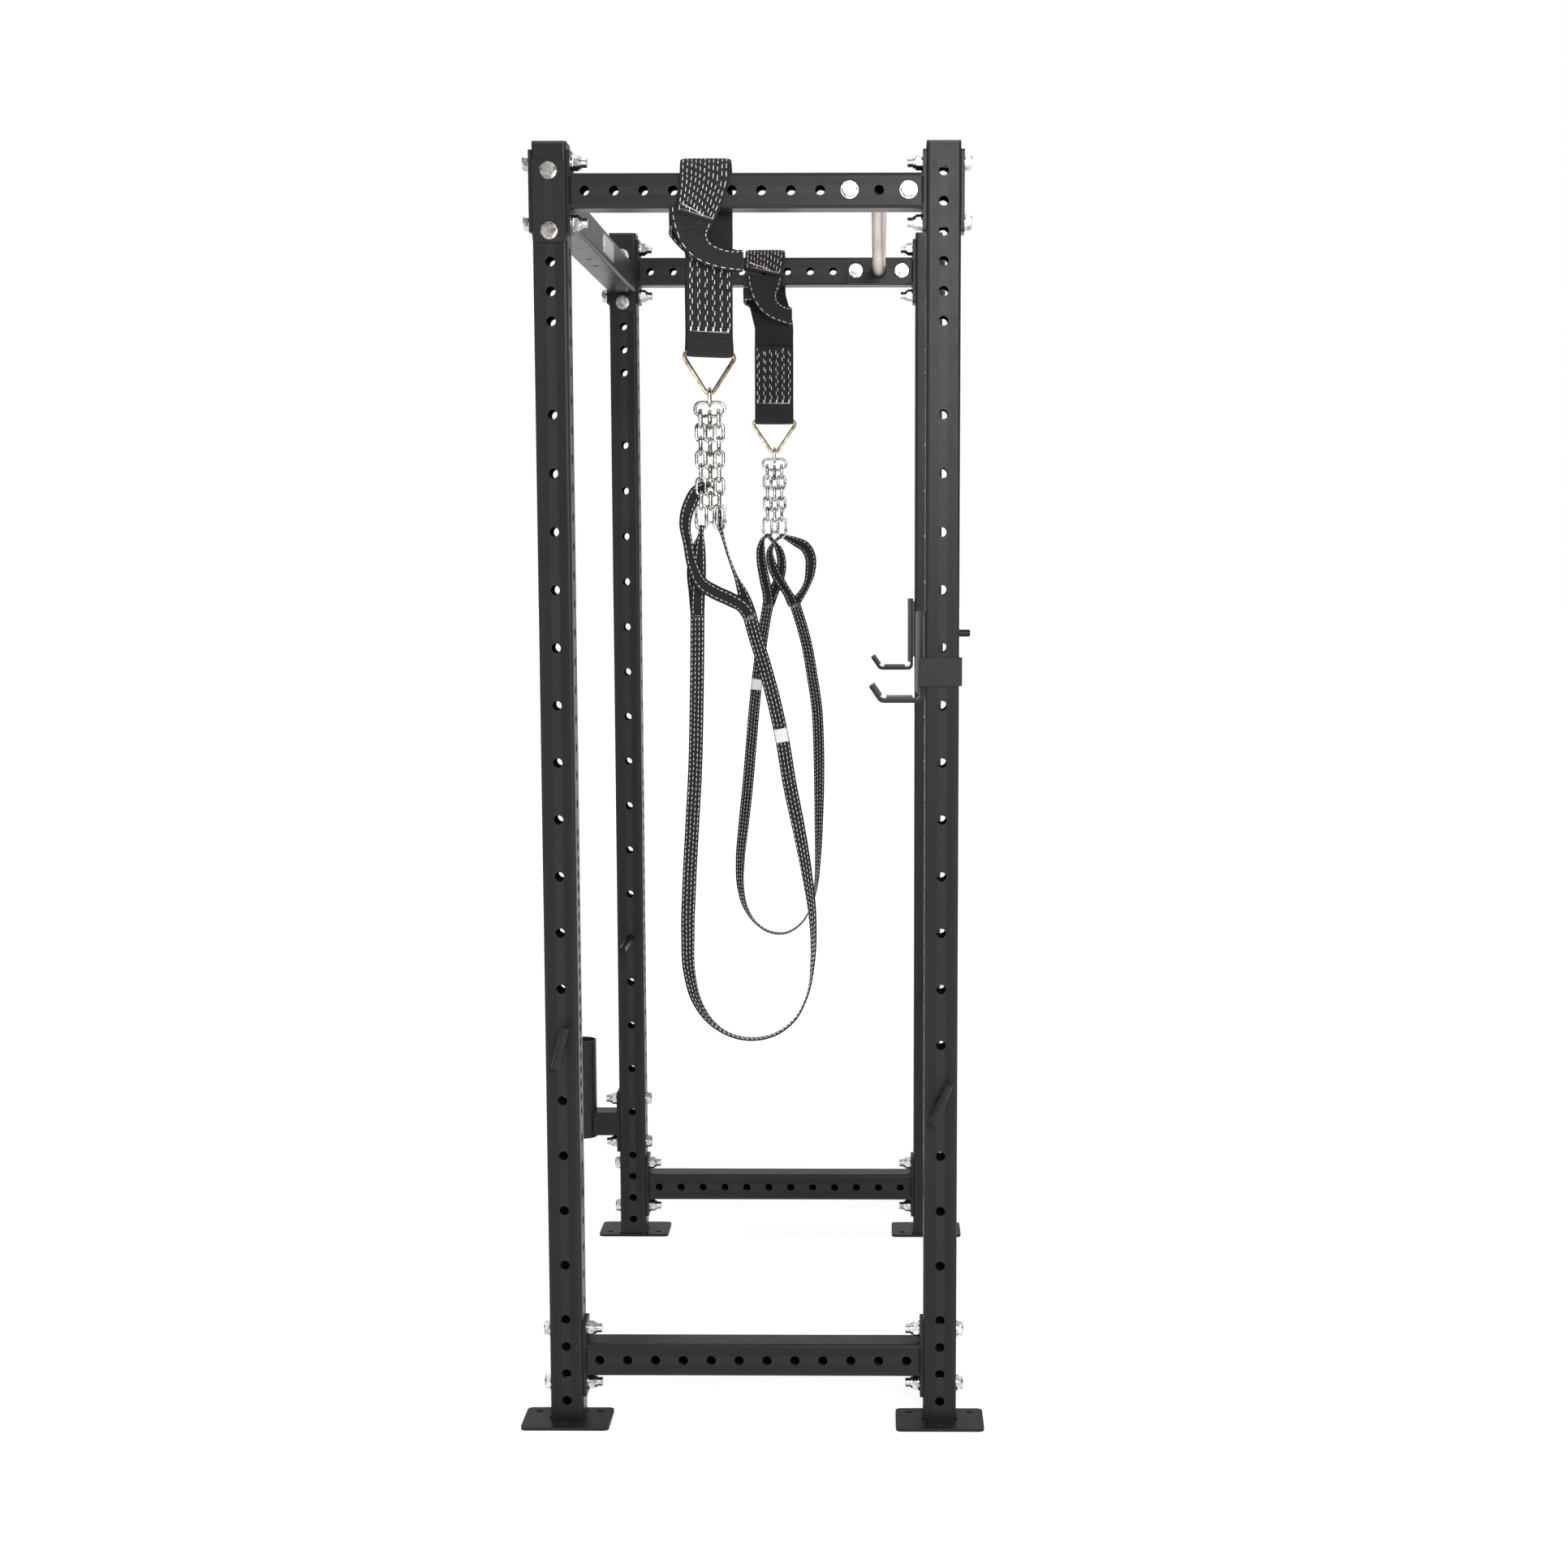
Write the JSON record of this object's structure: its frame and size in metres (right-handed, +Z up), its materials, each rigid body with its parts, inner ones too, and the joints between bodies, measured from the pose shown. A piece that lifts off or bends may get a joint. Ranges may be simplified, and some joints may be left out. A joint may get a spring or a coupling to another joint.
{
  "type": "power cage",
  "caption": "Bolted square-tube power cage with a pull-up bar, swing-out bar cradles, pull pins, an upright bar holder and hanging slings with chain and webbing loops.",
  "frame": {"origin": "on the floor, midway between the four uprights, at the centre of the outer floor anchor holes", "axes": "+X towards the front, where the pull-up bar and cradles are; +Y towards the left side, where the bar holder is; +Z up"},
  "size_m": [0.905, 1.28, 2.284],
  "materials": {
    "frame_paint": "black powder coat, fine texture, satin",
    "zinc_plate": "bright zinc plate",
    "chain_zinc": "bright zinc plate",
    "yellow_zinc": "pale yellow zinc plate",
    "bar_steel": "satin chrome",
    "plate_aluminium": "brushed, blank",
    "cap_plastic": "moulded",
    "liner_plastic": "smooth UHMW polyethylene",
    "webbing": "woven black webbing with white stitching"
  },
  "bodies": {
    "frame": {"rear_right_upright": "frame_paint", "front_right_upright": "frame_paint", "rear_left_upright": "frame_paint", "front_left_upright": "frame_paint", "rear_right_foot": "frame_paint", "front_right_foot": "frame_paint", "rear_left_foot": "frame_paint", "front_left_foot": "frame_paint", "right_top_rail": "frame_paint", "left_top_rail": "frame_paint", "right_bottom_rail": "frame_paint", "left_bottom_rail": "frame_paint", "top_rail_flanges": "frame_paint", "bottom_rail_flanges": "frame_paint", "rear_crossbar": "frame_paint", "rear_crossbar_flanges": "frame_paint", "side_backing_plates": "frame_paint", "rear_backing_plates": "frame_paint", "pull_up_flanges": "frame_paint", "holder_bracket": "frame_paint", "holder_tube": "frame_paint", "upright_caps": "cap_plastic", "pull_up_bar": "bar_steel", "nameplate": "plate_aluminium", "rail_bolts": "zinc_plate", "rail_nuts": "zinc_plate", "crossbar_bolts": "zinc_plate", "crossbar_nuts": "zinc_plate", "pull_up_bolts": "zinc_plate", "pull_up_nuts": "zinc_plate", "holder_bolts": "zinc_plate", "holder_nuts": "zinc_plate", "flat_washers": "zinc_plate", "right_sling_wrap": "webbing", "left_sling_wrap": "webbing"},
    "right_bar_cradle": {"right_cradle": "frame_paint", "right_cradle_pin": "frame_paint", "right_cradle_liners": "liner_plastic"},
    "left_bar_cradle": {"left_cradle": "frame_paint", "left_cradle_pin": "frame_paint", "left_cradle_liners": "liner_plastic"},
    "rear_right_pin": {"rear_right_pull_pin": "frame_paint"},
    "front_right_pin": {"front_right_pull_pin": "frame_paint"},
    "rear_left_pin": {"rear_left_pull_pin": "frame_paint"},
    "front_left_pin": {"front_left_pull_pin": "frame_paint"},
    "right_sling": {"right_sling_tail": "webbing"},
    "right_triangle": {"right_ring": "yellow_zinc"},
    "right_hanger": {"right_chain": "chain_zinc", "right_snap_hooks": "chain_zinc"},
    "right_loop": {"right_eye_loops": "webbing", "right_webbing_loop": "webbing"},
    "left_sling": {"left_sling_tail": "webbing"},
    "left_triangle": {"left_ring": "yellow_zinc"},
    "left_hanger": {"left_chain": "chain_zinc", "left_snap_hooks": "chain_zinc"},
    "left_loop": {"left_eye_loops": "webbing", "left_webbing_loop": "webbing"}
  },
  "joints": [
    {"name": "right_cradle_swing", "type": "hinge", "parent": "frame", "child": "right_bar_cradle", "pos_m": [0.34, -0.57, 1.4384], "axis": [-1, 0, 0], "range_deg": [0, 90]},
    {"name": "left_cradle_swing", "type": "hinge", "parent": "frame", "child": "left_bar_cradle", "pos_m": [0.34, 0.57, 1.4384], "axis": [1, 0, 0], "range_deg": [0, 90]},
    {"name": "rear_right_pin_slide", "type": "slide", "parent": "frame", "child": "rear_right_pin", "axis": [0, -1, 0], "range_m": [0, 0.24]},
    {"name": "front_right_pin_slide", "type": "slide", "parent": "frame", "child": "front_right_pin", "axis": [0, -1, 0], "range_m": [0, 0.24]},
    {"name": "rear_left_pin_slide", "type": "slide", "parent": "frame", "child": "rear_left_pin", "axis": [0, 1, 0], "range_m": [0, 0.24]},
    {"name": "front_left_pin_slide", "type": "slide", "parent": "frame", "child": "front_left_pin", "axis": [0, 1, 0], "range_m": [0, 0.24]},
    {"name": "right_sling_swing", "type": "hinge", "parent": "frame", "child": "right_sling", "pos_m": [-0.068, -0.57, 2.1634], "axis": [0.9063, 0.4226, 0], "range_deg": [-15, 15]},
    {"name": "right_ring_swing", "type": "hinge", "parent": "right_sling", "child": "right_triangle", "pos_m": [-0.068, -0.57, 1.928], "axis": [0.9063, 0.4226, 0], "range_deg": [-30, 30]},
    {"name": "right_chain_swing", "type": "hinge", "parent": "right_triangle", "child": "right_hanger", "pos_m": [-0.068, -0.57, 1.858], "axis": [0, 1, 0], "range_deg": [-6, 6]},
    {"name": "right_loop_swing", "type": "hinge", "parent": "right_hanger", "child": "right_loop", "pos_m": [-0.068, -0.5735, 1.62146], "axis": [1, 0, 0], "range_deg": [-20, 20]},
    {"name": "left_sling_swing", "type": "hinge", "parent": "frame", "child": "left_sling", "pos_m": [-0.006, 0.57, 2.1634], "axis": [1, 0, 0], "range_deg": [-15, 15]},
    {"name": "left_ring_swing", "type": "hinge", "parent": "left_sling", "child": "left_triangle", "pos_m": [-0.006, 0.57, 1.875], "axis": [1, 0, 0], "range_deg": [-30, 30]},
    {"name": "left_chain_swing", "type": "hinge", "parent": "left_triangle", "child": "left_hanger", "pos_m": [-0.006, 0.57, 1.805], "axis": [0, 1, 0], "range_deg": [-6, 6]},
    {"name": "left_loop_swing", "type": "hinge", "parent": "left_hanger", "child": "left_loop", "pos_m": [-0.006, 0.5665, 1.61546], "axis": [1, 0, 0], "range_deg": [-20, 20]}
  ]
}
